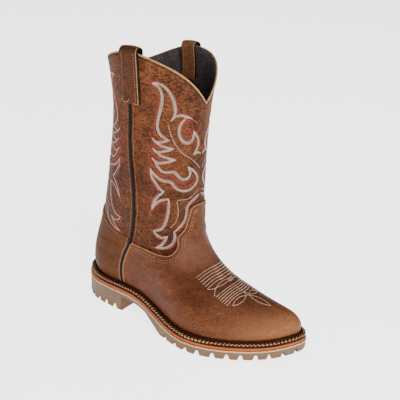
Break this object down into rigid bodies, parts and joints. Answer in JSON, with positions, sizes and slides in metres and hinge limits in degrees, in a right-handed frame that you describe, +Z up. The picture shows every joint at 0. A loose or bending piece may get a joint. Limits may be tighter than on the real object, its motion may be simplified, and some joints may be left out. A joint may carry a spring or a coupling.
{
  "type": "work boot",
  "caption": "Right pull-on leather work boot with a hollow scalloped shaft, side piping, looped pull straps, a stitched welt and a heeled rubber lug sole",
  "frame": {"origin": "On the floor, under the middle of the boot's bounding box", "axes": "+X points from the heel to the toe, +Z points up, -Y is the outer side of this right boot and +Y its inner side"},
  "size_m": [0.297, 0.1222, 0.328],
  "materials": {
    "upper_leather": "oiled brown leather with soft creases",
    "vamp_leather": "oiled tan-brown leather, paler at the toe",
    "counter_leather": "oiled olive-brown leather",
    "piping_leather": "black rolled leather",
    "strap_leather": "oiled brown leather with stitched edges",
    "welt_leather": "dark red-brown welt with a raised stitched rib",
    "midsole_rubber": "matt orange sheet",
    "outsole_rubber": "matt taupe moulded rubber",
    "insole_leather": "plain tan board"
  },
  "bodies": {
    "root": {"upper": "upper_leather", "vamp": "vamp_leather", "counter": "counter_leather", "piping_outer": "piping_leather", "piping_inner": "piping_leather", "pull_strap_outer": "strap_leather", "pull_strap_inner": "strap_leather", "welt": "welt_leather", "midsole": "midsole_rubber", "outsole": "outsole_rubber", "insole": "insole_leather"}
  },
  "joints": []
}
